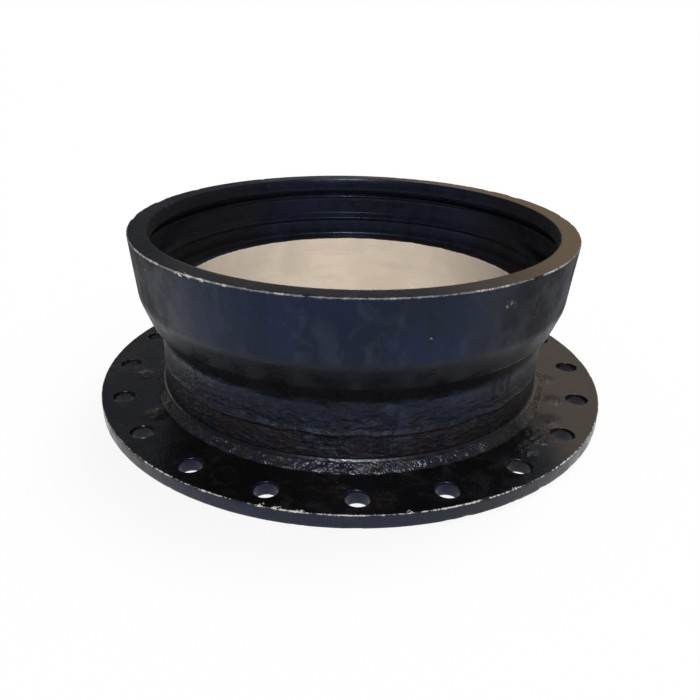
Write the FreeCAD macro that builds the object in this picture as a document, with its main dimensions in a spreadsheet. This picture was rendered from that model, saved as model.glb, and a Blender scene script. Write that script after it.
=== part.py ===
import FreeCAD, Part
import os

import Sketcher
from FreeCAD import Vector

# Flanged socket, millimetres. +Z runs along the bore, from the gasket face of the flange
# (Z = 0, where the fitting also stands) up to the mouth of the push-in socket.

SIZES = (
    # the push-in joint: every ring is a gap outside the plain pipe end that it takes
    ("pipe_diameter", 635, "plain pipe end that the socket takes"),
    ("mouth_gap", 4.5, "pipe to the mouth, all round"),
    ("mouth_face_width", 32, "flat end face of the socket"),
    ("lead_in_width", 2.5, "cone at the mouth, how far it opens"),
    ("lead_in_depth", 9, "cone at the mouth, how deep it runs"),
    ("lip_land", 10.5, "straight land of the lip under the cone"),
    ("lip_back", 3.5, "steep back of the lip, over the heel groove"),
    ("heel_gap", 22.5, "pipe to the floor of the heel groove"),
    ("heel_width", 12, "heel groove, along the bore"),
    ("bead_front", 4, "slope from the heel groove up to the bead"),
    ("bead_gap", 16.5, "pipe to the crest of the bead that holds the gasket heel"),
    ("bead_back", 4, "slope from the bead into the gasket seat"),
    ("seat_gap", 20.5, "pipe to the wall of the gasket seat"),
    ("seat_width", 30, "gasket seat, along the bore"),
    ("ridge_slope", 8, "slope from the seat in to the stop ridge"),
    ("ridge_gap", 7, "pipe to the crest of the stop ridge under the gasket"),
    ("ridge_back", 6, "undercut behind the stop ridge"),
    ("chamber_gap", 11, "pipe to the chamber where it can tilt"),
    ("socket_depth", 116, "end face to the shelf that the pipe stops at"),
    # the casting outside
    ("barrel_height", 96, "outer wall, end face to the shoulder"),
    ("barrel_taper", 9.2, "how far the outer wall narrows on the way"),
    ("shoulder_height", 38, "cone of the shoulder"),
    ("flare_height", 26, "flare from the neck up to the foot of the shoulder"),
    ("flare_width", 16, "how far the flare goes out"),
    ("neck_inset", 2.5, "neck surface inside the plain pipe's surface"),
    ("neck_wall", 12, "iron of the neck"),
    ("neck_length", 102, "back of the flange to the flare"),
    ("neck_setback", 3, "gasket face to the end of the neck"),
    # the flange ring
    ("plate_thickness", 21, "flange plate, flat on both sides"),
    ("ring_gap", 1.5, "neck to the ring slipped over it"),
    ("bolt_circle_margin", 70, "neck surface to the bolt circle"),
    ("rim_margin", 35, "bolt circle to the rim"),
    ("bolt_hole_diameter", 37, "bolt hole"),
    ("bolt_hole_count", 20, "bolt holes, none on the centre lines"),
    # the weld
    ("weld_foot", 19.5, "weld along the flange"),
    ("weld_leg", 15, "weld up the neck"),
    # the mortar
    ("lining_thickness", 6, "cement mortar in the bore"),
    ("lining_proud", 1, "mortar standing above the shelf"),
)

# Heights and radii that several pieces share, as formulas on the sheet.
NECK_RADIUS = "Sizes.pipe_diameter / 2 - Sizes.neck_inset"
BORE_RADIUS = NECK_RADIUS + " - Sizes.neck_wall"
BOLT_CIRCLE = NECK_RADIUS + " + Sizes.bolt_circle_margin"
NECK_TOP = "Sizes.plate_thickness + Sizes.neck_length"
SHOULDER_FOOT = NECK_TOP + " + Sizes.flare_height"
BARREL_FOOT = SHOULDER_FOOT + " + Sizes.shoulder_height"
END_FACE = BARREL_FOOT + " + Sizes.barrel_height"
SHELF = END_FACE + " - Sizes.socket_depth"


def pipe_gap(gap):
    """Radius of a ring that stands the named gap outside the pipe."""
    return "Sizes.pipe_diameter / 2 + Sizes." + gap


def fill_sheet(doc):
    """Put every driving size on the sheet, one row each: name, value, meaning."""
    sheet = doc.addObject("Spreadsheet::Sheet", "Sizes")
    for row, (alias, value, meaning) in enumerate(SIZES, start=1):
        sheet.set("A%d" % row, alias)
        sheet.set("B%d" % row, str(value))
        sheet.set("C%d" % row, meaning)
        sheet.setAlias("B%d" % row, alias)
    doc.recompute()
    return sheet


def new_body(doc, label):
    """An empty sub-part on the shared axis."""
    body = doc.addObject("PartDesign::Body", label)
    body.Label = label
    body.Placement = FreeCAD.Placement(Vector(0, 0, 0), FreeCAD.Rotation())
    return body


def new_sketch(body, name, role):
    """A sketch on one of the body's own origin planes."""
    sketch = body.newObject("Sketcher::SketchObject", name)
    plane = next(item for item in body.Origin.OriginFeatures if item.Role == role)
    sketch.AttachmentSupport = [(plane, "")]
    sketch.MapMode = "FlatFace"
    return sketch


def bound(sketch, name, constraint, expression):
    """Add a named constraint and tie it to its formula."""
    index = sketch.addConstraint(constraint)
    sketch.renameConstraint(index, name)
    sketch.setExpression("Constraints." + name, expression)


def draw_section(body, name, corners):
    """Draw a closed section beside the axis from its corners, each a radius and a height.

    The height None is the base line, Z = 0.
    """
    sketch = new_sketch(body, name, "XZ_Plane")
    points = []
    for radius, height in corners:
        level = 0.0 if height is None else float(sketch.evalExpression(height))
        points.append(Vector(float(sketch.evalExpression(radius)), level, 0))
    for number, start in enumerate(points):
        finish = points[(number + 1) % len(points)]
        sketch.addGeometry(Part.LineSegment(start, finish), False)
    for number, (radius, height) in enumerate(corners):
        place = points[number]
        before = (number - 1) % len(corners)
        sketch.addConstraint(Sketcher.Constraint("Coincident", before, 2, number, 1))
        bound(sketch, "radius_%d" % number,
              Sketcher.Constraint("DistanceX", -1, 1, number, 1, place.x), radius)
        if height is None:
            sketch.addConstraint(Sketcher.Constraint("PointOnObject", number, 1, -1))
        else:
            bound(sketch, "height_%d" % number,
                  Sketcher.Constraint("DistanceY", -1, 1, number, 1, place.y), height)
    return sketch


def turn_section(body, name, corners):
    """Turn a closed section once round the Z axis."""
    sketch = draw_section(body, name + "_section", corners)
    turned = body.newObject("PartDesign::Revolution", name)
    turned.Profile = sketch
    turned.ReferenceAxis = (sketch, ["V_Axis"])
    turned.Angle = 360
    sketch.Document.recompute()
    return turned


def socket_casting(doc):
    """One iron casting: the socket with its gasket joint inside, the shoulder and the neck."""
    body = new_body(doc, "socket_casting")
    mouth = pipe_gap("mouth_gap")
    end_radius = mouth + " + Sizes.mouth_face_width"
    # up the outside: end of the neck, flare, shoulder, outer wall, end face
    outside = [
        (BORE_RADIUS, "Sizes.neck_setback"),
        (NECK_RADIUS, "Sizes.neck_setback"),
        (NECK_RADIUS, NECK_TOP),
        (NECK_RADIUS + " + Sizes.flare_width", SHOULDER_FOOT),
        (end_radius + " - Sizes.barrel_taper", BARREL_FOOT),
        (end_radius, END_FACE),
        (mouth + " + Sizes.lead_in_width", END_FACE),
    ]
    # down the inside, each step from the one above: how far down, and the gap at its end
    steps = (
        ("lead_in_depth", "mouth_gap"),
        ("lip_land", "mouth_gap"),
        ("lip_back", "heel_gap"),
        ("heel_width", "heel_gap"),
        ("bead_front", "bead_gap"),
        ("bead_back", "seat_gap"),
        ("seat_width", "seat_gap"),
        ("ridge_slope", "ridge_gap"),
        ("ridge_back", "chamber_gap"),
    )
    inside = []
    height = END_FACE
    for drop, gap in steps:
        height = height + " - Sizes." + drop
        inside.append((pipe_gap(gap), height))
    inside.append((pipe_gap("chamber_gap"), SHELF))
    inside.append((BORE_RADIUS, SHELF))
    turn_section(body, "casting", outside + inside)
    return body


def flange_ring(doc):
    """Flat plate ring with drilled bolt holes."""
    body = new_body(doc, "flange_ring")
    ring_bore = NECK_RADIUS + " + Sizes.ring_gap"
    rim = BOLT_CIRCLE + " + Sizes.rim_margin"
    blank = turn_section(body, "ring_blank", [
        (ring_bore, None),
        (rim, None),
        (rim, "Sizes.plate_thickness"),
        (ring_bore, "Sizes.plate_thickness"),
    ])
    # one hole, half a pitch round from the X axis, so that the holes straddle the centre lines
    centre = Vector(float(body.evalExpression(BOLT_CIRCLE)), 10, 0)
    sketch = new_sketch(body, "bolt_hole_place", "XY_Plane")
    spoke = sketch.addGeometry(Part.LineSegment(Vector(0, 0, 0), centre), True)
    hole = sketch.addGeometry(Part.Circle(centre, Vector(0, 0, 1), 5), False)
    sketch.addConstraint(Sketcher.Constraint("Coincident", spoke, 1, -1, 1))
    sketch.addConstraint(Sketcher.Constraint("Coincident", spoke, 2, hole, 3))
    bound(sketch, "bolt_circle", Sketcher.Constraint("Distance", spoke, centre.Length),
          BOLT_CIRCLE)
    bound(sketch, "half_pitch", Sketcher.Constraint("Angle", -1, 1, spoke, 1, 0.1),
          "180 deg / Sizes.bolt_hole_count")
    bound(sketch, "hole_size", Sketcher.Constraint("Diameter", hole, 10),
          "Sizes.bolt_hole_diameter")
    drilled = body.newObject("PartDesign::Pocket", "bolt_hole")
    drilled.Profile = sketch
    drilled.Type = "ThroughAll"
    drilled.Reversed = True
    doc.recompute()
    holes = body.newObject("PartDesign::PolarPattern", "bolt_holes")
    holes.Originals = [drilled]
    holes.Axis = (sketch, ["N_Axis"])
    holes.Angle = 360
    holes.setExpression("Occurrences", "Sizes.bolt_hole_count")
    body.Tip = holes
    doc.recompute()
    removed = blank.Shape.Volume - holes.Shape.Volume
    if removed <= (blank.Shape.Volume - drilled.Shape.Volume) * 1.5:
        raise RuntimeError("the bolt holes did not cut the ring")
    return body


def outer_weld(doc):
    """Fillet weld round the foot of the neck, on the back of the flange."""
    body = new_body(doc, "outer_weld")
    turn_section(body, "weld_bead", [
        (NECK_RADIUS, "Sizes.plate_thickness"),
        (NECK_RADIUS + " + Sizes.weld_foot", "Sizes.plate_thickness"),
        (NECK_RADIUS, "Sizes.plate_thickness + Sizes.weld_leg"),
    ])
    return body


def cement_lining(doc):
    """Cement mortar spun on to the bore, from the end of the neck to the shelf."""
    body = new_body(doc, "cement_lining")
    lining_radius = BORE_RADIUS + " - Sizes.lining_thickness"
    lining_top = SHELF + " + Sizes.lining_proud"
    turn_section(body, "mortar", [
        (lining_radius, "Sizes.neck_setback"),
        (BORE_RADIUS, "Sizes.neck_setback"),
        (BORE_RADIUS, lining_top),
        (lining_radius, lining_top),
    ])
    return body


def check_model(doc, bodies):
    """Stop before anything is written if a feature failed or a shape is not a valid solid."""
    for item in doc.Objects:
        if "Invalid" in item.State or "Error" in item.State:
            raise RuntimeError("%s failed: %s" % (item.Label, item.State))
        if item.TypeId == "Sketcher::SketchObject" and not item.FullyConstrained:
            raise RuntimeError("%s is not fully constrained" % item.Label)
    for body in bodies:
        if body.Shape.isNull() or not body.Shape.isValid() or len(body.Shape.Solids) != 1:
            raise RuntimeError("%s is not one valid solid" % body.Label)


def write_parts(bodies):
    """Write one file for each sub-part."""
    os.makedirs("parts", exist_ok=True)
    for body in bodies:
        body.Shape.exportStep("parts/%s.step" % body.Label)


document = FreeCAD.newDocument("FlangeSocket")
fill_sheet(document)
pieces = [
    flange_ring(document),
    socket_casting(document),
    outer_weld(document),
    cement_lining(document),
]
document.recompute()
check_model(document, pieces)
write_parts(pieces)
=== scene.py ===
import math

import bmesh
import bpy
from mathutils import Matrix, Vector, noise


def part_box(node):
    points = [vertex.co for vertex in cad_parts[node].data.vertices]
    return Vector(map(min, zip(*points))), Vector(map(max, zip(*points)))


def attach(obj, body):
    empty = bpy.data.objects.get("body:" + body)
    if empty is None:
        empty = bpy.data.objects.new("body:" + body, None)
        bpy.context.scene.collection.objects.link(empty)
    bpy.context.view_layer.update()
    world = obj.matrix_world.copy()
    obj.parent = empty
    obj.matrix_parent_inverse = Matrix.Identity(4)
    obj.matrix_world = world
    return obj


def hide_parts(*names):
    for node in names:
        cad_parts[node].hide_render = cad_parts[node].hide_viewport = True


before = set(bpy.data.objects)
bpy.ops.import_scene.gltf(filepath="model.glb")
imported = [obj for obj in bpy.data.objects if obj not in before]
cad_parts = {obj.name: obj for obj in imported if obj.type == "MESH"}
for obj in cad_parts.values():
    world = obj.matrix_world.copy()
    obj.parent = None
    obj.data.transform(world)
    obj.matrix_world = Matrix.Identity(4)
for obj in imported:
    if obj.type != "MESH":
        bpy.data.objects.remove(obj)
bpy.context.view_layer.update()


# The socket casting: one iron casting, push-in socket above and short neck below, dipped in
# black bitumen paint. Its wall is fairly smooth; the neck kept the coarse skin of the mould,
# and handling has worn the paint off the outer edge of the mouth.

bore_radius = 0.303
neck_radius = 0.315
flare_width = 0.016
barrel_taper = 0.0092
end_radius = 0.354
mouth_radius = 0.322
lead_in = 0.0025
heel_radius = 0.340
bead_radius = 0.334
seat_radius = 0.338
ridge_radius = 0.3245
chamber_radius = 0.3285
neck_end, end_face = (corner.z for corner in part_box("socket_casting"))
plate_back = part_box("flange_ring")[1].z
neck_top = plate_back + 0.102
shoulder_foot = neck_top + 0.026
barrel_foot = shoulder_foot + 0.038
shelf = end_face - 0.116
weld_top = plate_back + 0.015

# radius, height, and how far the round reaches along each side of the corner
casting_outline = (
    (bore_radius, neck_end, 0),
    (neck_radius, neck_end, 0),
    (neck_radius, weld_top - 0.004, 0),
    (neck_radius, neck_top, 0.008),
    (neck_radius + flare_width, shoulder_foot, 0.0016),
    (end_radius - barrel_taper, barrel_foot, 0.005),
    (end_radius, end_face, 0.0022),
    (mouth_radius + lead_in, end_face, 0.0012),
    (mouth_radius, end_face - 0.009, 0.0038),
    (mouth_radius, end_face - 0.0215, 0.0018),
    (heel_radius, end_face - 0.0245, 0.002),
    (heel_radius, end_face - 0.035, 0.002),
    (bead_radius, end_face - 0.039, 0.0014),
    (seat_radius, end_face - 0.043, 0.0014),
    (seat_radius, end_face - 0.073, 0.0008),
    (ridge_radius, end_face - 0.081, 0.0016),
    (chamber_radius, end_face - 0.087, 0.002),
    (chamber_radius, shelf, 0.005),
    (bore_radius, shelf, 0),
)
casting_steps = 640
# distance between rows along a side; a side that can't be seen isn't divided
casting_spacing = 0.0065
neck_spacing = 0.0021
hidden_spacing = 1
wedges = 20
merge_gap = 0.00003
small_round = 0.0015


def turned(outline, steps, spacing):
    """Round the corners of a closed outline, divide its sides and turn it once round Z."""
    form = bmesh.new()
    corners = [form.verts.new((radius, 0, height)) for radius, height, reach in outline]
    for number, corner in enumerate(corners):
        form.edges.new((corners[number - 1], corner))
    for corner, (radius, height, reach) in zip(corners, outline):
        if reach:
            bmesh.ops.bevel(form, geom=[corner], offset=reach, offset_type="OFFSET",
                            segments=4 if reach > small_round else 2, profile=0.5,
                            affect="VERTICES", material=-1)
    for edge in list(form.edges):
        middle = (edge.verts[0].co + edge.verts[1].co) / 2
        cuts = math.ceil(edge.calc_length() / spacing(middle.x, middle.z)) - 1
        if cuts > 0:
            bmesh.ops.subdivide_edges(form, edges=[edge], cuts=cuts)
    bmesh.ops.spin(form, geom=form.verts[:] + form.edges[:], cent=(0, 0, 0), axis=(0, 0, 1),
                   angle=math.tau / wedges, steps=steps // wedges)
    repeat_round(form, wedges)
    bmesh.ops.recalc_face_normals(form, faces=form.faces[:])
    form.normal_update()
    return form


def repeat_round(form, count):
    """Copy a wedge round Z until the circle is closed, and join the copies."""
    bmesh.ops.spin(form, geom=form.faces[:], cent=(0, 0, 0), axis=(0, 0, 1),
                   angle=math.tau - math.tau / count, steps=count - 1, use_duplicate=True)
    bmesh.ops.remove_doubles(form, verts=form.verts[:], dist=merge_gap)


def finished(name, form, replaced):
    """Make the piece's object from its form and put it in the place of its solid."""
    mesh = bpy.data.meshes.new(name)
    form.to_mesh(mesh)
    form.free()
    mesh.shade_smooth()
    piece = bpy.data.objects.new(name, mesh)
    bpy.context.scene.collection.objects.link(piece)
    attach(piece, "root")
    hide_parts(replaced)
    return piece


def ease(value, start, end):
    """0 before start, 1 after end, and a smooth rise between them."""
    share = min(max((value - start) / (end - start), 0), 1)
    return share * share * (3 - 2 * share)


def casting_side(radius, height):
    """How far apart the rows are: close on the neck, none behind the mortar and the weld."""
    if radius < bore_radius + 0.001 or height < weld_top - 0.005:
        return hidden_spacing
    return neck_spacing if height < neck_top + 0.010 else casting_spacing


lap_level = 0.073
lap_width = 0.0027
lap_rise = 0.0042
# paint that ran down the neck before it dried: angle, how far it reaches down
neck_runs = ((-42.5, 0.087), (-39.5, 0.096), (-36.5, 0.082), (-128, 0.09), (150, 0.08))
run_width = 0.45
run_rise = 0.0030


def neck_skin(place):
    """Height of the coarse mould skin on the neck, with the lap and the runs of paint on it."""
    x, y, z = place
    ridges = noise.fractal(Vector((x * 24, y * 24, z * 80)), 0.8, 2.2, 4)
    grain = noise.noise(Vector((x * 90, y * 90, z * 170)))
    lap_height = (lap_level + 0.007 * noise.noise(Vector((x * 16, y * 16, 3)))
                  + 0.002 * noise.noise(Vector((x * 60, y * 60, 3))))
    lap_share = 0.6 + 0.4 * ease(noise.noise(Vector((x * 7, y * 7, 8))), -0.35, 0.25)
    lap = math.exp(-((z - lap_height) / lap_width) ** 2) * lap_share
    bearing = math.degrees(math.atan2(y, x))
    lap *= 1 - 0.75 * ease(abs(math.cos(math.radians(bearing))), 0.62, 0.80)
    run = 0
    for angle, lowest in neck_runs:
        across = (bearing - angle + 180) % 360 - 180
        run += math.exp(-(across / run_width) ** 2) * ease(z, lowest, lowest + 0.01)
    lower = 1 - ease(z, neck_top - 0.045, neck_top)
    rough = 1 - 0.65 * calm_share(bearing, z)
    return (rough * (0.0008 * ridges + (0.0004 + 0.0007 * lower) * grain)
            + lap_rise * lap + run_rise * run)


def calm_share(bearing, height):
    """Where the mould left the neck smoother: its two sides, and above the lap at front right."""
    front_right = math.exp(-((bearing + 45) / 30) ** 2) * ease(height, 0.060, 0.080)
    return max(front_right, ease(abs(math.cos(math.radians(bearing))), 0.62, 0.86))


chip_reach = 0.006
chip_depth = 0.0009
casting_form = turned(casting_outline, casting_steps, casting_side)
coarse_skin = casting_form.verts.layers.float.new("coarse skin")
for vert in casting_form.verts:
    place = vert.co.copy()
    outward = Vector((place.x, place.y, 0)).normalized()
    if vert.normal.dot(outward) > 0.3:
        on_neck = 1 - ease(place.z, neck_top, neck_top + 0.012)
        waves = noise.noise(place * 9) * 0.0006 + noise.noise(place * 34) * 0.00025
        vert.co += outward * (neck_skin(place) * on_neck + waves * (1 - on_neck))
        bearing = math.degrees(math.atan2(place.y, place.x))
        vert[coarse_skin] = ((1 - ease(place.z, neck_top - 0.040, neck_top + 0.012))
                             * (1 - 0.7 * calm_share(bearing, place.z)))
    to_mouth_edge = math.hypot(place.xy.length - end_radius, place.z - end_face)
    if to_mouth_edge < chip_reach:
        chip = ease(noise.noise(place * 42) + 0.4 * noise.noise(place * 150), 0.15, 0.7)
        chip *= 1 - ease(to_mouth_edge, 0.001, chip_reach)
        vert.co -= (outward + Vector((0, 0, 1))) * chip_depth * chip
casting = finished("socket_casting_painted", casting_form, "socket_casting")


def add_node(tree, kind, inputs=(), **settings):
    """Add a node, set its settings, and fill its inputs with values or links."""
    node = tree.nodes.new(kind)
    for setting, value in settings.items():
        setattr(node, setting, value)
    for socket, value in inputs:
        if isinstance(value, bpy.types.NodeSocket):
            tree.links.new(value, node.inputs[socket])
        else:
            node.inputs[socket].default_value = value
    return node


def sums(tree, operation, first, second, third=0.0):
    """Result of one Math node."""
    return add_node(tree, "ShaderNodeMath", ((0, first), (1, second), (2, third)),
                    operation=operation).outputs[0]


def mixed(tree, share, first, second):
    """Colour mixed from two by a share."""
    node = add_node(tree, "ShaderNodeMix", data_type="RGBA")
    for socket, value in (("Factor_Float", share), ("A_Color", first), ("B_Color", second)):
        slot = next(item for item in node.inputs if item.identifier == socket)
        if isinstance(value, bpy.types.NodeSocket):
            tree.links.new(value, slot)
        else:
            slot.default_value = value
    return next(item for item in node.outputs if item.identifier == "Result_Color")


def spread(tree, value, low, high, out_low=0.0, out_high=1.0):
    """Smooth change of a value from one range to another."""
    return add_node(tree, "ShaderNodeMapRange", (("Value", value), ("From Min", low),
                    ("From Max", high), ("To Min", out_low), ("To Max", out_high)),
                    interpolation_type="SMOOTHSTEP").outputs[0]


def new_group(name, inputs, outputs):
    """An empty effect group with named number inputs and outputs."""
    group = bpy.data.node_groups.new(name, "ShaderNodeTree")
    for label, value in inputs:
        socket = group.interface.new_socket(label, in_out="INPUT", socket_type="NodeSocketFloat")
        socket.default_value = value
    for label in outputs:
        group.interface.new_socket(label, in_out="OUTPUT", socket_type="NodeSocketFloat")
    return group, group.nodes.new("NodeGroupInput").outputs, group.nodes.new("NodeGroupOutput")


def grain_of(tree, vector, scale, detail=4.0, roughness=0.6, distortion=0.0):
    """Value of one noise texture."""
    return add_node(tree, "ShaderNodeTexNoise",
                    (("Vector", vector), ("Scale", scale), ("Detail", detail),
                     ("Roughness", roughness), ("Distortion", distortion))).outputs["Fac"]


def stretched(tree, vector, scale):
    """Coordinates drawn out along an axis."""
    return add_node(tree, "ShaderNodeMapping", (("Vector", vector), ("Scale", scale))).outputs[0]


# paint skin: the orange peel, scuffs and specks of bitumen, over a coarse or a smooth casting
paint_skin, skin_in, skin_out = new_group(
    "paint skin", (("Peel", 0.3), ("Coarse", 0.0)),
    ("Height", "Patch", "Cloud", "Streak", "Bloom", "Speck", "Hair", "Ridge", "Hollow"))
surface = add_node(paint_skin, "ShaderNodeTexCoord").outputs["Object"]
peel = grain_of(paint_skin, surface, 190.0, 3.0, 0.5)
flat_grain = stretched(paint_skin, surface, (0.6, 0.6, 1.2))
coarse = grain_of(paint_skin, flat_grain, 150.0, 4.0, 0.6, 0.5)
patch = grain_of(paint_skin, surface, 26.0, 6.0, 0.62, 0.3)
cloud = grain_of(paint_skin, surface, 7.0, 3.0)
streak = grain_of(paint_skin, stretched(paint_skin, surface, (1.0, 1.0, 0.22)), 48.0, 4.0, 0.6, 0.2)
smear = grain_of(paint_skin, stretched(paint_skin, surface, (1.0, 1.0, 0.6)), 34.0, 5.0, 0.6, 0.8)
bloom = sums(paint_skin, "MULTIPLY", spread(paint_skin, smear, 0.46, 0.66),
             spread(paint_skin, grain_of(paint_skin, surface, 9.0), 0.42, 0.58))
specks = add_node(paint_skin, "ShaderNodeTexVoronoi", (("Vector", surface), ("Scale", 90.0)))
speck = spread(paint_skin, specks.outputs["Distance"], 0.12, 0.05)
speck = sums(paint_skin, "MULTIPLY", speck,
             spread(paint_skin, grain_of(paint_skin, surface, 19.0), 0.58, 0.68))
crossing = sums(paint_skin, "SUBTRACT", grain_of(paint_skin, surface, 38.0, 2.0, 0.5, 1.5), 0.5)
crossing = sums(paint_skin, "ABSOLUTE", crossing, 0.0)
hair = sums(paint_skin, "MULTIPLY", spread(paint_skin, crossing, 0.008, 0.002),
            spread(paint_skin, grain_of(paint_skin, surface, 12.0), 0.54, 0.64))
ridge = sums(paint_skin, "MULTIPLY", spread(paint_skin, coarse, 0.56, 0.70), skin_in["Coarse"])
hollow = sums(paint_skin, "MULTIPLY", spread(paint_skin, coarse, 0.48, 0.36), skin_in["Coarse"])
height = sums(paint_skin, "MULTIPLY", peel, skin_in["Peel"])
height = sums(paint_skin, "MULTIPLY_ADD", sums(paint_skin, "MULTIPLY", coarse, 5.5),
              skin_in["Coarse"], height)
height = sums(paint_skin, "MULTIPLY_ADD", hair, -0.25, height)
for label, result in (("Height", height), ("Patch", patch), ("Cloud", cloud),
                      ("Streak", spread(paint_skin, streak, 0.46, 0.66)), ("Bloom", bloom),
                      ("Speck", speck), ("Hair", hair), ("Ridge", ridge), ("Hollow", hollow)):
    paint_skin.links.new(result, skin_out.inputs[label])

# worn edge: a line along a turned edge, in dashes of uneven length: paint worn off, and on the
# mouth and the crease partly painted highlight and reflection
edge_wear_and_sheen, edge_in, edge_out = new_group(
    "worn edge", (("Radius", 0.4), ("Height", 0.0), ("Width", 0.006), ("Cover", 0.1)), ("Mask",))
surface = add_node(edge_wear_and_sheen, "ShaderNodeTexCoord").outputs["Object"]
split = add_node(edge_wear_and_sheen, "ShaderNodeSeparateXYZ", ((0, surface),)).outputs
flat = add_node(edge_wear_and_sheen, "ShaderNodeCombineXYZ", ((0, split["X"]), (1, split["Y"])))
from_axis = add_node(edge_wear_and_sheen, "ShaderNodeVectorMath", ((0, flat.outputs[0]),),
                     operation="LENGTH").outputs["Value"]
across = add_node(edge_wear_and_sheen, "ShaderNodeCombineXYZ",
                  ((0, sums(edge_wear_and_sheen, "SUBTRACT", from_axis, edge_in["Radius"])),
                   (1, sums(edge_wear_and_sheen, "SUBTRACT", split["Z"], edge_in["Height"]))))
distance = add_node(edge_wear_and_sheen, "ShaderNodeVectorMath", ((0, across.outputs[0]),),
                    operation="LENGTH").outputs["Value"]
edge_line = sums(edge_wear_and_sheen, "MULTIPLY_ADD", grain_of(edge_wear_and_sheen, surface, 190.0, 5.0, 0.7), 1.8,
            edge_in["Cover"])
edge_line = sums(edge_wear_and_sheen, "MULTIPLY_ADD", grain_of(edge_wear_and_sheen, surface, 17.0, 2.0), 0.9, edge_line)
edge_line = sums(edge_wear_and_sheen, "SUBTRACT", edge_line, sums(edge_wear_and_sheen, "DIVIDE", distance, edge_in["Width"]))
edge_wear_and_sheen.links.new(spread(edge_wear_and_sheen, edge_line, 1.30, 1.44), edge_out.inputs["Mask"])

# ragged mark: a stain, chip, scrape, or a patch partly of painted highlight, round one point,
# broken up by noise
ragged_mark, mark_in, mark_out = new_group(
    "ragged mark", (("X", 0.0), ("Y", 0.0), ("Z", 0.0), ("Size", 0.01), ("Grain", 200.0),
                    ("Soft", 0.1)), ("Mask",))
surface = add_node(ragged_mark, "ShaderNodeTexCoord").outputs["Object"]
centre = add_node(ragged_mark, "ShaderNodeCombineXYZ",
                  ((0, mark_in["X"]), (1, mark_in["Y"]), (2, mark_in["Z"])))
reach = add_node(ragged_mark, "ShaderNodeVectorMath", ((0, surface), (1, centre.outputs[0])),
                 operation="SUBTRACT").outputs[0]
reach = stretched(ragged_mark, reach, (1.0, 1.0, 2.2))
distance = add_node(ragged_mark, "ShaderNodeVectorMath", ((0, reach),),
                    operation="LENGTH").outputs["Value"]
inside = sums(ragged_mark, "SUBTRACT", 1.0, sums(ragged_mark, "DIVIDE", distance, mark_in["Size"]))
broken = grain_of(ragged_mark, surface, mark_in["Grain"], 3.0, 0.6)
ragged = sums(ragged_mark, "MULTIPLY_ADD", inside, 0.45, sums(ragged_mark, "MULTIPLY", broken, 2.2))
ragged = spread(ragged_mark, ragged, 1.42, sums(ragged_mark, "ADD", mark_in["Soft"], 1.42))
ragged = sums(ragged_mark, "MULTIPLY", ragged, spread(ragged_mark, inside, 0.0, 0.3))
ragged_mark.links.new(ragged, mark_out.inputs["Mask"])


def fill_group(tree, group, values):
    """An effect group placed in a material, with its named inputs filled."""
    node = add_node(tree, "ShaderNodeGroup", node_tree=group)
    for label, value in values:
        if isinstance(value, bpy.types.NodeSocket):
            tree.links.new(value, node.inputs[label])
        else:
            node.inputs[label].default_value = value
    return node


# what the bitumen shows besides its own black: dust, rust, marks and worn paint, and painted shade,
# sunlight and highlight
neck_paint = (0.0080, 0.0080, 0.0175, 1)
shoulder_shade_paint = (0.0080, 0.0078, 0.0070, 1)
deep_black = (0.003, 0.003, 0.004, 1)
neck_rust = (0.0160, 0.0092, 0.0060, 1)
side_shade_brown = (0.0065, 0.0042, 0.0022, 1)
dust_and_sunlight_tone = (0.135, 0.098, 0.058, 1)
fold_shadow = (0.006, 0.0045, 0.003, 1)
ridge_wear_and_highlight = (0.060, 0.056, 0.070, 1)
dark_hollow = (0.006, 0.004, 0.003, 1)
fine_scratch = (0.10, 0.095, 0.09, 1)
grit = (0.16, 0.15, 0.14, 1)
skin_depth = 0.0007
rust_top = 0.092
rust_full = 0.060
side_from = 0.17
side_full = 0.27
right_full = 0.31


def outward_share(tree, facing, surface, upward, height):
    """1 on faces turned away from the axis, 0 on those turned towards it."""
    flat = add_node(tree, "ShaderNodeVectorMath", ((0, facing), (1, surface)),
                    operation="DOT_PRODUCT").outputs["Value"]
    flat = sums(tree, "MULTIPLY_ADD", sums(tree, "MULTIPLY", upward, height), -1.0, flat)
    return spread(tree, flat, -0.03, 0.03)


def dust_and_sunlight_share(tree, place, upward, dull, dust):
    """How much dust lies on level faces in dull patches, with painted sunlight in the colour of
    dust towards the right.
    """
    dull_dust, right_sunlight, right_from, dust_foot, dust_slope = dust
    share = sums(tree, "MULTIPLY_ADD", place["Y"], 0.3, place["X"])
    share = sums(tree, "MULTIPLY", spread(tree, share, right_from, right_full), right_sunlight)
    share = sums(tree, "MULTIPLY_ADD", dull, dull_dust, share)
    share = sums(tree, "MULTIPLY", share, spread(tree, upward, dust_slope - 0.12, dust_slope))
    return sums(tree, "MULTIPLY", share, spread(tree, place["Z"], dust_foot - 0.003, dust_foot))


def with_edges_and_marks(tree, colour, roughness, aside, edges, marks):
    """Colour and roughness with the edge lines and the marks laid over them, some of them partly
    painted highlight and reflection.
    """
    for radius, level, width, cover, shown_tone, bare_from in edges:
        mask = fill_group(tree, edge_wear_and_sheen, (("Radius", radius), ("Height", level),
                          ("Width", width), ("Cover", cover))).outputs["Mask"]
        mask = sums(tree, "MULTIPLY", mask, spread(tree, aside, bare_from - 0.05, bare_from + 0.05))
        colour = mixed(tree, mask, colour, shown_tone)
        roughness = sums(tree, "MULTIPLY_ADD", mask, 0.25, roughness)
    for angle, radius, level, size, grain, soft, shown_tone in marks:
        spot = polar(radius, math.radians(angle), level)
        mask = fill_group(tree, ragged_mark, (("X", spot.x), ("Y", spot.y), ("Z", spot.z),
                          ("Size", size), ("Grain", grain), ("Soft", soft))).outputs["Mask"]
        colour = mixed(tree, mask, colour, shown_tone)
        roughness = sums(tree, "MULTIPLY_ADD", mask, 0.3, roughness)
    return colour, roughness


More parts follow.
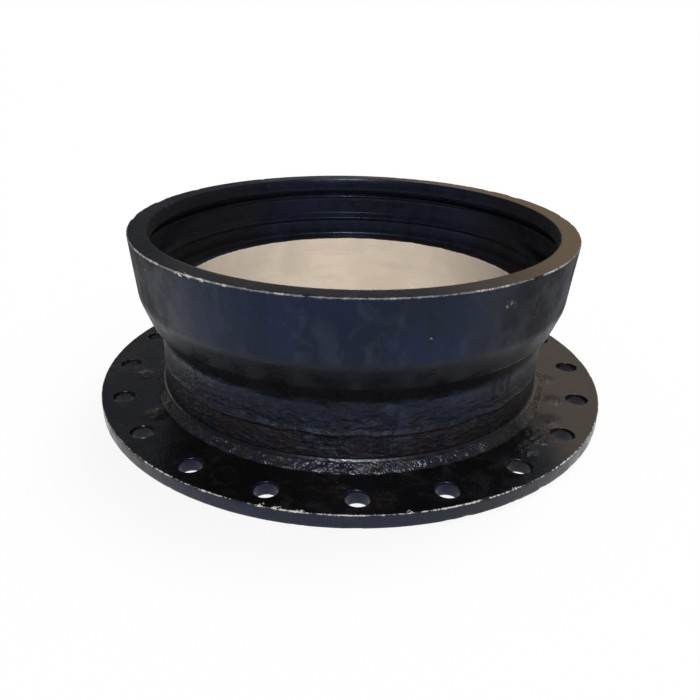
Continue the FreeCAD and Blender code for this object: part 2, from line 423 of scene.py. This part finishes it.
def painted(name, paints, tint, specular, gloss, peel, dust, edges, marks):
    """Bitumen paint with its skin, dust, worn edges and marks, and light and shade painted into its
    colour.

    The paints are those on level faces, outside, inside and where the bitumen bloomed. The dust
    says how much dust lies in dull patches, how much painted sunlight in the colour of dust lies at
    the right, how far right that starts, the height both start at and how level a face has to be.
    """
    level_paint, outside_paint, inside_paint, bloomed = paints
    material = bpy.data.materials.new(name)
    material.use_nodes = True
    tree = material.node_tree
    coat = tree.nodes["Principled BSDF"]
    coat.inputs["Specular IOR Level"].default_value = specular
    coat.inputs["Specular Tint"].default_value = tint
    coarse = add_node(tree, "ShaderNodeAttribute", attribute_name="coarse skin").outputs["Fac"]
    fold = add_node(tree, "ShaderNodeAttribute", attribute_name="fold shade").outputs["Fac"]
    skin = fill_group(tree, paint_skin, (("Peel", peel), ("Coarse", coarse))).outputs
    facing = add_node(tree, "ShaderNodeNewGeometry").outputs["Normal"]
    upward = add_node(tree, "ShaderNodeSeparateXYZ", ((0, facing),)).outputs["Z"]
    surface = add_node(tree, "ShaderNodeTexCoord").outputs["Object"]
    place = add_node(tree, "ShaderNodeSeparateXYZ", ((0, surface),)).outputs
    aside = sums(tree, "ABSOLUTE", place["X"], 0.0)
    lying = spread(tree, sums(tree, "ABSOLUTE", upward, 0.0), 0.90, 0.98)
    outward = outward_share(tree, facing, surface, upward, place["Z"])
    colour = mixed(tree, outward, inside_paint, outside_paint)
    colour = mixed(tree, spread(tree, coarse, 0.02, 0.25), colour, neck_paint)
    colour = mixed(tree, lying, colour, level_paint)
    dull = spread(tree, skin["Patch"], 0.38, 0.62)
    shade = sums(tree, "MULTIPLY", spread(tree, skin["Cloud"], 0.4, 0.62), 0.45)
    shade = sums(tree, "MULTIPLY_ADD", skin["Streak"], 0.42, shade)
    colour = mixed(tree, shade, colour, deep_black)
    bloom_share = sums(tree, "MULTIPLY_ADD", outward, 0.45, 0.15)
    colour = mixed(tree, sums(tree, "MULTIPLY", skin["Bloom"], bloom_share), colour, bloomed)
    # painted shade: the outer faces of the shoulder, turned downwards, lose the blue of the wall
    # and take a duller dark paint
    shoulder = sums(tree, "MULTIPLY", spread(tree, place["Z"], neck_top - 0.008, neck_top + 0.002),
                    spread(tree, place["Z"], barrel_foot + 0.009, barrel_foot - 0.003))
    shoulder = sums(tree, "MULTIPLY", shoulder, outward)
    rusty = sums(tree, "MULTIPLY", spread(tree, place["Z"], rust_top, rust_full), dull)
    rusty = sums(tree, "MULTIPLY", rusty, spread(tree, coarse, 0.0, 0.8))
    colour = mixed(tree, sums(tree, "MULTIPLY", rusty, 0.8), colour, neck_rust)
    colour = mixed(tree, sums(tree, "MULTIPLY", shoulder, 0.85), colour, shoulder_shade_paint)
    # painted shade and painted reflection of a brown ground: towards both sides the faces that are
    # not level turn dark brown; the same sides are also made rougher
    shaded_and_rough_sides = spread(tree, aside, side_from, side_full)
    painted_side_shade = sums(tree, "MULTIPLY", shaded_and_rough_sides, spread(tree, lying, 1.0, 0.0))
    colour = mixed(tree, sums(tree, "MULTIPLY", painted_side_shade, 0.85), colour, side_shade_brown)
    shaded_and_rough_sides = sums(tree, "MULTIPLY", shaded_and_rough_sides,
                     spread(tree, place["Z"], barrel_foot - 0.006, barrel_foot + 0.012, 0.45, 1.0))
    shaded_and_rough_sides = sums(tree, "MULTIPLY", shaded_and_rough_sides,
                     spread(tree, place["Z"], weld_top, weld_top + 0.012))
    # dust in dull patches, and on the right painted sunlight in the colour of dust
    dust_and_sunlight = dust_and_sunlight_share(tree, place, upward, dull, dust)
    colour = mixed(tree, dust_and_sunlight, colour, dust_and_sunlight_tone)
    # fold valleys in painted shadow; ridges of the coarse skin lightened, partly as worn paint and
    # partly as painted highlight; hollows darker; fine scratches and grit
    for mask, share, tone in ((fold, 0.75, fold_shadow), (skin["Ridge"], 0.5, ridge_wear_and_highlight),
                              (skin["Hollow"], 0.7, dark_hollow),
                              (skin["Hair"], 0.25, fine_scratch), (skin["Speck"], 0.35, grit)):
        colour = mixed(tree, sums(tree, "MULTIPLY", mask, share), colour, tone)
    roughness = sums(tree, "MULTIPLY_ADD", dull, 0.16, gloss - 0.06)
    roughness = sums(tree, "MULTIPLY_ADD", dust_and_sunlight, 0.35, roughness)
    roughness = sums(tree, "MULTIPLY_ADD", shaded_and_rough_sides, 0.38, roughness)
    colour, roughness = with_edges_and_marks(tree, colour, roughness, aside, edges, marks)
    bump = add_node(tree, "ShaderNodeBump", (("Height", skin["Height"]),
                    ("Distance", skin_depth), ("Strength", 1.0)))
    tree.links.new(colour, coat.inputs["Base Color"])
    tree.links.new(roughness, coat.inputs["Roughness"])
    tree.links.new(bump.outputs["Normal"], coat.inputs["Normal"])
    return material


def polar(radius, angle, height):
    """A point from its distance to the axis, its angle and its height."""
    return Vector((radius * math.cos(angle), radius * math.sin(angle), height))


bare_iron = (0.62, 0.61, 0.60, 1)
rubbed_and_sheen = (0.17, 0.165, 0.17, 1)
scuffed_and_sheen = (0.050, 0.055, 0.070, 1)
bloomed = (0.024, 0.029, 0.052, 1)
old_scrape = (0.017, 0.011, 0.008, 1)
# angle, radius, height, size, grain, how soft its border is, and what shows
casting_marks = (
    (-48.7, 0.3512, 0.2515, 0.0042, 500.0, 0.1, bare_iron),
    (-48.0, 0.3516, 0.2560, 0.016, 420.0, 0.2, rubbed_and_sheen),
    (-46.0, 0.3505, 0.2490, 0.020, 260.0, 0.4, scuffed_and_sheen),
    (-38.0, 0.3515, 0.2600, 0.026, 160.0, 0.6, scuffed_and_sheen),
    (-30.0, 0.3490, 0.2300, 0.022, 200.0, 0.6, scuffed_and_sheen),
    (-112.0, 0.3510, 0.2480, 0.050, 60.0, 1.0, bloomed),
    (-99.0, 0.3510, 0.2460, 0.045, 70.0, 1.0, bloomed),
    (-66.6, 0.3488, 0.2245, 0.0036, 500.0, 0.1, bare_iron),
    (-63.0, 0.3375, 0.170, 0.030, 190.0, 0.1, old_scrape),
    (-57.0, 0.3330, 0.158, 0.024, 190.0, 0.1, old_scrape),
    (-121.5, 0.3535, 0.2810, 0.012, 260.0, 0.1, bare_iron),
    (-118.5, 0.3535, 0.2815, 0.010, 330.0, 0.1, bare_iron),
    (-115.0, 0.3535, 0.2805, 0.008, 300.0, 0.1, bare_iron),
    (-109.0, 0.3535, 0.2815, 0.007, 330.0, 0.1, bare_iron),
    (-136.0, 0.352, 0.262, 0.014, 260.0, 0.2, rubbed_and_sheen),
    (140.0, 0.351, 0.250, 0.014, 300.0, 0.2, rubbed_and_sheen),
    (62.0, 0.350, 0.238, 0.006, 400.0, 0.1, bare_iron),
    # a broad soft light patch inside the mouth at the back: partly scuffs, partly painted highlight
    (108.0, 0.3235, 0.2790, 0.060, 70.0, 0.9, scuffed_and_sheen),
)
# radius, height, how far the wear reaches, how much of it, what shows, and how far aside it starts
all_round = -1
casting_edges = (
    # a continuous light line along the outer edge of the mouth: partly worn paint, partly painted
    # highlight
    (end_radius, end_face - 0.0006, 0.0026, 0.66, rubbed_and_sheen, all_round),
    (end_radius, end_face - 0.0006, 0.0034, 0.12, bare_iron, all_round),
    (mouth_radius + lead_in, end_face, 0.003, -0.1, rubbed_and_sheen, all_round),
    (chamber_radius, shelf, 0.0035, 0.30, rubbed_and_sheen, all_round),
    # a light line along the crease above the neck, on the two sides only: partly worn paint, partly
    # painted reflection
    (neck_radius + flare_width, shoulder_foot, 0.0022, 0.5, rubbed_and_sheen, 0.24),
)
casting_paint = painted(
    "bitumen on the socket",
    paints=((0.007, 0.007, 0.007, 1), (0.0070, 0.0092, 0.0340, 1), (0.0070, 0.0085, 0.0200, 1),
            bloomed),
    tint=(0.50, 0.70, 1.0, 1), specular=0.28, gloss=0.29, peel=0.3,
    dust=(0.06, 1.0, 0.0, end_face, 0.97), edges=casting_edges, marks=casting_marks)
casting.data.materials.append(casting_paint)


# The flange ring: a thick plate ring flame-cut and turned, slipped over the neck and drilled
# with twenty bolt holes. Black bitumen paint, brushed on thick round the foot of the weld,
# and rubbed through to the iron along the edges of the rim.

rim_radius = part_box("flange_ring")[1].x
ring_bore = neck_radius + 0.0015
bolt_circle = 0.385
hole_radius = 0.0185
paint_in_hole = 0.0014
hole_count = 20
hole_pitch = math.tau / hole_count
patch_inner = 0.355
patch_outer = 0.4145
patch_columns = 22
side_columns = 9
foot_rows = 14
rim_rows = 2
hole_rows = 8
plate_layers = 6
rim_bevel = 0.0013
hole_bevel = 0.0017


def steps_between(start, end, count):
    """Values at equal steps from start to end."""
    return [start + (end - start) * step / count for step in range(count + 1)]


def plate_sector(form, inner, outer, rows, start, turn, columns):
    """A sector of plate: a line of edges along a radius, turned about the axis."""
    line = [form.verts.new(polar(radius, start, plate_back))
            for radius in steps_between(inner, outer, rows)]
    sides = [form.edges.new(pair) for pair in zip(line, line[1:])]
    bmesh.ops.spin(form, geom=line + sides, cent=(0, 0, 0), axis=(0, 0, 1), angle=turn,
                   steps=columns)


def hole_patch(form):
    """The plate round one bolt hole: a frame of edges bridged to the ring of the hole."""
    corners = [form.verts.new(polar(radius, -half_patch, plate_back))
               for radius in (patch_inner, patch_outer)]
    arcs = bmesh.ops.spin(form, geom=corners, cent=(0, 0, 0), axis=(0, 0, 1),
                          angle=2 * half_patch, steps=patch_columns)
    sides = [form.edges.new(corners),
             form.edges.new([item for item in arcs["geom_last"]
                             if isinstance(item, bmesh.types.BMVert)])]
    bmesh.ops.subdivide_edges(form, edges=sides, cuts=patch_columns - 1)
    middle = (Matrix.Translation(polar(bolt_circle, 0, plate_back))
              @ Matrix.Rotation(math.pi / 4, 4, "Z"))
    bmesh.ops.create_circle(form, segments=4 * patch_columns,
                            radius=hole_radius - paint_in_hole, matrix=middle)
    fan = bmesh.ops.bridge_loops(form, edges=form.edges[:])
    bmesh.ops.subdivide_edges(form, edges=fan["edges"], cuts=hole_rows - 1, use_grid_fill=True)


flange_form = bmesh.new()
half_patch = hole_pitch / 2 * patch_columns / (patch_columns + 2 * side_columns)
side_turn = hole_pitch / 2 - half_patch
beside_hole = ((-hole_pitch / 2, side_turn, side_columns), (half_patch, side_turn, side_columns))
at_hole = (-half_patch, 2 * half_patch, patch_columns)
hole_patch(flange_form)
for sector in beside_hole:
    plate_sector(flange_form, patch_inner, patch_outer, patch_columns, *sector)
for sector in (*beside_hole, at_hole):
    plate_sector(flange_form, ring_bore, patch_inner, foot_rows, *sector)
    plate_sector(flange_form, patch_outer, rim_radius, rim_rows, *sector)
bmesh.ops.rotate(flange_form, verts=flange_form.verts[:], cent=(0, 0, 0),
                 matrix=Matrix.Rotation(hole_pitch / 2, 3, "Z"))
repeat_round(flange_form, hole_count)
bmesh.ops.recalc_face_normals(flange_form, faces=flange_form.faces[:])
thick = bmesh.ops.extrude_face_region(flange_form, geom=flange_form.faces[:])
lowered = [item for item in thick["geom"] if isinstance(item, bmesh.types.BMVert)]
bmesh.ops.translate(flange_form, verts=lowered, vec=(0, 0, -plate_back))
bmesh.ops.recalc_face_normals(flange_form, faces=flange_form.faces[:])


def sharp_edges(form, nearest, furthest):
    """The square edges of the plate whose middles lie between two distances from the axis."""
    return [edge for edge in form.edges
            if len(edge.link_faces) == 2 and edge.calc_face_angle(0) > 1
            and nearest < (edge.verts[0].co + edge.verts[1].co).xy.length / 2 < furthest]


rim_edges = sharp_edges(flange_form, rim_radius - 0.002, rim_radius + 0.001)
bmesh.ops.bevel(flange_form, geom=rim_edges, offset=rim_bevel, offset_type="OFFSET", segments=2,
                profile=0.5, affect="EDGES", material=-1)
hole_edges = [edge for edge in sharp_edges(flange_form, patch_inner, patch_outer)
              if edge.verts[0].co.z > plate_back / 2]
bmesh.ops.bevel(flange_form, geom=hole_edges, offset=hole_bevel, offset_type="OFFSET",
                segments=3, profile=0.5, affect="EDGES", material=-1)
upright = [edge for edge in flange_form.edges
           if abs(edge.verts[0].co.z - edge.verts[1].co.z) > plate_back * 0.7]
bmesh.ops.subdivide_edges(flange_form, edges=upright, cuts=plate_layers - 1, use_grid_fill=True)

# places where the paint was laid on thick: angle, radius, how far it reaches, height
thick_paint = (
    (-76, 0.388, 0.030, 0.0016),
    (-85, 0.369, 0.022, 0.0014),
    (-38, 0.362, 0.026, 0.0026),
    (-31, 0.361, 0.032, 0.0030),
    (-22, 0.356, 0.026, 0.0020),
    (-11, 0.350, 0.024, 0.0022),
    (1, 0.342, 0.020, 0.0020),
    (-141, 0.350, 0.024, 0.0014),
    (-164, 0.352, 0.022, 0.0012),
    (84, 0.360, 0.028, 0.0018),
    (131, 0.356, 0.024, 0.0014),
)
coarse_skin = flange_form.verts.layers.float.new("coarse skin")
fold_shade = flange_form.verts.layers.float.new("fold shade")
for vert in flange_form.verts:
    place = vert.co.copy()
    outward = Vector((place.x, place.y, 0)).normalized()
    if place.z > plate_back - 0.0001:
        lift = 0.00015 * noise.noise(place * 16)
        for angle, distance, size, depth in thick_paint:
            spot = polar(distance, math.radians(angle), plate_back)
            if (place - spot).length < size:
                share = 1 - ease((place - spot).length, 0.3 * size, size)
                bearing = math.atan2(place.y, place.x)
                fold = noise.fractal(Vector((bearing * 9, place.xy.length * 85, angle)),
                                     0.7, 2.1, 3)
                crest = max(1 - 3.2 * abs(fold), 0)
                lift += depth * share * crest
                vert[fold_shade] = max(vert[fold_shade], share * (1 - crest))
                vert[coarse_skin] = max(vert[coarse_skin], 0.7 * share)
        vert.co.z += lift
    if place.xy.length > rim_radius - 0.004:
        dents = ease(noise.noise(place * 38) + 0.5 * noise.noise(place * 130), 0.2, 0.8)
        near_corner = 1 - ease(min(plate_back - place.z, place.z), 0.0005, 0.005)
        vert.co -= outward * (0.0012 * dents * near_corner
                              + 0.0002 * (noise.noise(place * 60) + 1))
flange = finished("flange_ring_painted", flange_form, "flange_ring")
fresh_rust = (0.13, 0.060, 0.026, 1)
dull_smear = (0.019, 0.0175, 0.012, 1)
# angle, radius, height, size, grain, how soft its border is, and what shows
flange_marks = (
    (18.0, 0.384, plate_back, 0.030, 70.0, 0.7, fresh_rust),
    (97.0, 0.400, plate_back, 0.020, 90.0, 0.6, fresh_rust),
    (-92.0, 0.3700, plate_back, 0.040, 70.0, 1.0, dull_smear),
    (-85.5, 0.3720, plate_back, 0.034, 90.0, 0.8, dull_smear),
    (-75.0, 0.3900, plate_back, 0.030, 100.0, 0.8, dull_smear),
    (-98.0, 0.4190, plate_back, 0.009, 300.0, 0.1, bare_iron),
    (-95.5, 0.4190, plate_back, 0.010, 260.0, 0.1, bare_iron),
    (-91.0, 0.4195, plate_back, 0.008, 300.0, 0.1, bare_iron),
    (-72.0, 0.4195, plate_back, 0.007, 300.0, 0.1, bare_iron),
    (-51.0, 0.4195, plate_back, 0.008, 300.0, 0.1, bare_iron),
)
flange_edges = (
    (rim_radius, plate_back, 0.0042, 0.32, rubbed_and_sheen, all_round),
    (rim_radius, plate_back, 0.0026, 0.30, bare_iron, all_round),
    (rim_radius, 0.0, 0.003, 0.0, rubbed_and_sheen, all_round),
)
flange_side = (0.0035, 0.0048, 0.0210, 1)
flange_paint = painted(
    "bitumen on the flange",
    paints=((0.0035, 0.0032, 0.0028, 1), flange_side, flange_side, (0.025, 0.024, 0.028, 1)),
    tint=(0.7, 0.8, 1.0, 1), specular=0.4, gloss=0.24, peel=0.6,
    dust=(0.0, 0.42, 0.22, plate_back - 0.001, 0.97), edges=flange_edges, marks=flange_marks)
flange.data.materials.append(flange_paint)


# The outer weld: one pass of fillet weld round the foot of the neck. Its ripples lean with
# the travel of the torch, its upper toe is a narrow ledge and its lower toe wanders on the
# plate. It was painted over with the rest.

weld_foot = 0.0195
weld_ledge = 0.0032
weld_steps = 2400
weld_spacing = 0.0012
ripple_pitch = 0.0055
ripple_lean = 4.0
weld_outline = (
    (neck_radius - 0.001, plate_back - 0.0006, 0),
    (neck_radius + weld_foot - 0.0006, plate_back - 0.0006, 0),
    (neck_radius + weld_foot - 0.0006, plate_back + 0.0006, 0.0005),
    (neck_radius + 0.0120, plate_back + 0.0052, 0.003),
    (neck_radius + 0.0056, plate_back + 0.0104, 0.0014),
    (neck_radius + weld_ledge + 0.0014, weld_top - 0.0028, 0.0006),
    (neck_radius + weld_ledge - 0.0004, weld_top - 0.0004, 0.0006),
    (neck_radius - 0.001, weld_top - 0.0002, 0),
)


def weld_side(radius, height):
    """How far apart the rows are: none against the neck and the plate."""
    hidden = radius < neck_radius or height < plate_back
    return hidden_spacing if hidden else weld_spacing


weld_form = turned(weld_outline, weld_steps, weld_side)
coarse_skin = weld_form.verts.layers.float.new("coarse skin")
for vert in weld_form.verts:
    place = vert.co.copy()
    outward = Vector((place.x, place.y, 0)).normalized()
    if place.xy.length < neck_radius or place.z < plate_back:
        continue
    climb = (place.z - plate_back) / (weld_top - plate_back)
    along = math.atan2(place.y, place.x) * (neck_radius + 0.01) / ripple_pitch
    lean = ripple_lean * climb + 0.9 * noise.noise(outward * 24)
    ripple_share = ease(noise.noise(outward * 5.5), -0.3, 0.15)
    ripple = math.sin(math.tau * (along + lean)) * ripple_share
    lumps = noise.fractal(Vector((place.x * 75, place.y * 75, place.z * 110)), 0.8, 2.1, 3)
    on_face = ease(climb, 0.0, 0.2) * (1 - ease(climb, 0.62, 0.80))
    vert[coarse_skin] = 0.5 * on_face
    lift = on_face * (0.0007 * ripple + 0.0013 * lumps)
    wander = (1 - ease(climb, 0.0, 0.45)) * 0.0040 * (noise.noise(outward * 17) - 0.3)
    ledge = ease(climb, 0.75, 1.0) * 0.0006 * noise.noise(outward * 40)
    vert.co += vert.normal * lift + outward * (wander + ledge)
weld = finished("outer_weld_painted", weld_form, "outer_weld")
bead_side = (0.0045, 0.0045, 0.005, 1)
weld_paint = painted(
    "bitumen on the weld",
    paints=((0.005, 0.005, 0.0055, 1), bead_side, bead_side, (0.012, 0.010, 0.008, 1)),
    tint=(0.7, 0.8, 1.0, 1), specular=0.5, gloss=0.27, peel=0.12,
    dust=(0.0, 0.5, 0.21, plate_back, 0.60), edges=(), marks=())
weld.data.materials.append(weld_paint)


# The lining: cement mortar spun on to the bore of the neck while it turned, so it is nearly
# smooth, with faint rings, a rounded top edge and the grey and buff clouds of drying.

lining_radius = 0.297
lining_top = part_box("cement_lining")[1].z
lining_outline = (
    (lining_radius, neck_end, 0.001),
    (bore_radius, neck_end, 0),
    (bore_radius, lining_top, 0.0015),
    (lining_radius, lining_top, 0.0018),
)
lining_steps = 320
lining_spacing = 0.005


def lining_side(radius, height):
    """How far apart the rows are: none against the iron."""
    return hidden_spacing if radius > lining_radius + 0.004 else lining_spacing


lining_form = turned(lining_outline, lining_steps, lining_side)
for vert in lining_form.verts:
    place = vert.co.copy()
    outward = Vector((place.x, place.y, 0)).normalized()
    if place.xy.length < lining_radius + 0.003:
        rings = noise.noise(Vector((place.x * 6, place.y * 6, place.z * 60)))
        vert.co += outward * 0.0004 * rings
        if place.z > lining_top - 0.003:
            vert.co.z -= 0.0006 * (noise.noise(place * 45) + 1)
lining = finished("cement_lining_cast", lining_form, "cement_lining")
mortar = bpy.data.materials.new("cement mortar")
mortar.use_nodes = True
tree = mortar.node_tree
surface = add_node(tree, "ShaderNodeTexCoord").outputs["Object"]
buff = (0.64, 0.575, 0.50, 1)
pale_buff = (0.76, 0.68, 0.59, 1)
grey_ring = (0.52, 0.49, 0.45, 1)
sand_grain = (0.42, 0.39, 0.35, 1)
splashed_paint = (0.010, 0.010, 0.013, 1)
clouds = grain_of(tree, surface, 7.0, 6.0, 0.6)
streaks = grain_of(tree, stretched(tree, surface, (1.0, 1.0, 9.0)), 9.0, 4.0, 0.5)
grains = grain_of(tree, surface, 420.0, 3.0, 0.5)
tone = mixed(tree, spread(tree, clouds, 0.35, 0.65), buff, pale_buff)
tone = mixed(tree, spread(tree, streaks, 0.5, 0.75, 0.0, 0.35), tone, grey_ring)
tone = mixed(tree, spread(tree, grains, 0.55, 0.75, 0.0, 0.2), tone, sand_grain)
level = add_node(tree, "ShaderNodeSeparateXYZ", ((0, surface),)).outputs["Z"]
ragged_top = sums(tree, "MULTIPLY_ADD", grain_of(tree, surface, 40.0, 4.0, 0.6), 0.003, level)
over_paint = spread(tree, ragged_top, lining_top - 0.0008, lining_top - 0.0002)
tone = mixed(tree, over_paint, tone, splashed_paint)
dryness = spread(tree, clouds, 0.3, 0.7, 0.78, 0.9)
cast = tree.nodes["Principled BSDF"]
cast_bump = add_node(tree, "ShaderNodeBump", (("Height", grains), ("Distance", 0.0004),
                     ("Strength", 0.8)))
tree.links.new(tone, cast.inputs["Base Color"])
tree.links.new(sums(tree, "MULTIPLY_ADD", over_paint, -0.45, dryness), cast.inputs["Roughness"])
tree.links.new(cast_bump.outputs["Normal"], cast.inputs["Normal"])
cast.inputs["Specular IOR Level"].default_value = 0.3
lining.data.materials.append(mortar)


# The stand: a plain pale floor in a plain studio that looks white to the eye and is dim
# overhead, with one broad warm lamp from behind the camera and a weak cool one from behind
# the fitting.

floor_radius = 14
floor_form = bmesh.new()
bmesh.ops.create_circle(floor_form, cap_ends=True, segments=96, radius=floor_radius)
floor_mesh = bpy.data.meshes.new("floor")
floor_form.to_mesh(floor_mesh)
floor_form.free()
floor = bpy.data.objects.new("floor", floor_mesh)
bpy.context.scene.collection.objects.link(floor)
floor_material = bpy.data.materials.new("pale floor")
floor_material.use_nodes = True
tree = floor_material.node_tree
floor_skin = tree.nodes["Principled BSDF"]
floor_skin.inputs["Base Color"].default_value = (0.38, 0.365, 0.335, 1)
floor_skin.inputs["Roughness"].default_value = 0.9
floor_skin.inputs["Specular IOR Level"].default_value = 0.1
floor_skin.inputs["Emission Color"].default_value = (0.67, 0.68, 0.71, 1)
rays = add_node(tree, "ShaderNodeLightPath").outputs
seen = sums(tree, "MAXIMUM", rays["Is Camera Ray"], rays["Is Transmission Ray"])
seen = sums(tree, "MAXIMUM", seen, rays["Is Glossy Ray"])
tree.links.new(seen, floor_skin.inputs["Emission Strength"])
floor.data.materials.append(floor_material)

world = bpy.data.worlds.new("white surround")
bpy.context.scene.world = world
world.use_nodes = True
tree = world.node_tree
tree.nodes.clear()
direction = add_node(tree, "ShaderNodeTexCoord").outputs["Generated"]
towards = add_node(tree, "ShaderNodeSeparateXYZ", ((0, direction),)).outputs
climb = towards["Z"]
warm_wall = (0.17, 0.148, 0.122, 1)
cool_ceiling = (0.26, 0.285, 0.34, 1)
dark_side = (0.05, 0.045, 0.04, 1)
room = mixed(tree, spread(tree, climb, 0.0, 0.7), warm_wall, cool_ceiling)
room = mixed(tree, spread(tree, towards["X"], 0.1, -0.8, 0.0, 0.6), room, dark_side)
rays = add_node(tree, "ShaderNodeLightPath").outputs
mirrored = sums(tree, "MAXIMUM", rays["Is Glossy Ray"], rays["Is Transmission Ray"])
mirrored = sums(tree, "MULTIPLY", mirrored, spread(tree, climb, 0.11, 0.03))
white_seen = sums(tree, "MAXIMUM", rays["Is Camera Ray"], mirrored)
surround = mixed(tree, white_seen, room, (1, 1, 1, 1))
even_light = add_node(tree, "ShaderNodeBackground", (("Color", surround), ("Strength", 1.0)))
add_node(tree, "ShaderNodeOutputWorld", (("Surface", even_light.outputs[0]),))


def broad_lamp(name, energy, colour, spread_angle, bearing, climb):
    """A far lamp with soft shadows that shines from a bearing and a height in degrees."""
    lamp_data = bpy.data.lights.new(name, "SUN")
    lamp_data.energy = energy
    lamp_data.angle = math.radians(spread_angle)
    lamp_data.color = colour
    lamp = bpy.data.objects.new(name, lamp_data)
    bpy.context.scene.collection.objects.link(lamp)
    back = polar(math.cos(math.radians(climb)), math.radians(bearing),
                 math.sin(math.radians(climb)))
    lamp.rotation_euler = back.to_track_quat("Z", "Y").to_euler()


broad_lamp("front lamp", energy=2.6, colour=(1.0, 0.93, 0.84), spread_angle=9, bearing=-79,
           climb=42)
broad_lamp("back lamp", energy=0.5, colour=(0.9, 0.95, 1.0), spread_angle=20, bearing=70,
           climb=60)


# The camera: at head height in front of the fitting, a little to its right, looking down.

camera_distance = 1.1325
camera_bearing = math.radians(7.1)
camera_height = 0.580
camera_pitch = math.radians(25.05)
camera_turn = math.radians(0.09)
camera_roll = math.radians(1.255)
camera_data = bpy.data.cameras.new("camera")
camera_data.lens = 36.67
camera_data.sensor_width = 36
camera = bpy.data.objects.new("camera", camera_data)
bpy.context.scene.collection.objects.link(camera)
stand = Vector((camera_distance * math.sin(camera_bearing),
                -camera_distance * math.cos(camera_bearing), camera_height))
camera.matrix_world = (Matrix.Translation(stand)
                       @ Matrix.Rotation(camera_bearing + camera_turn, 4, "Z")
                       @ Matrix.Rotation(math.pi / 2 - camera_pitch, 4, "X")
                       @ Matrix.Rotation(camera_roll, 4, "Z"))
bpy.context.scene.camera = camera
bpy.context.scene.view_settings.view_transform = "Standard"
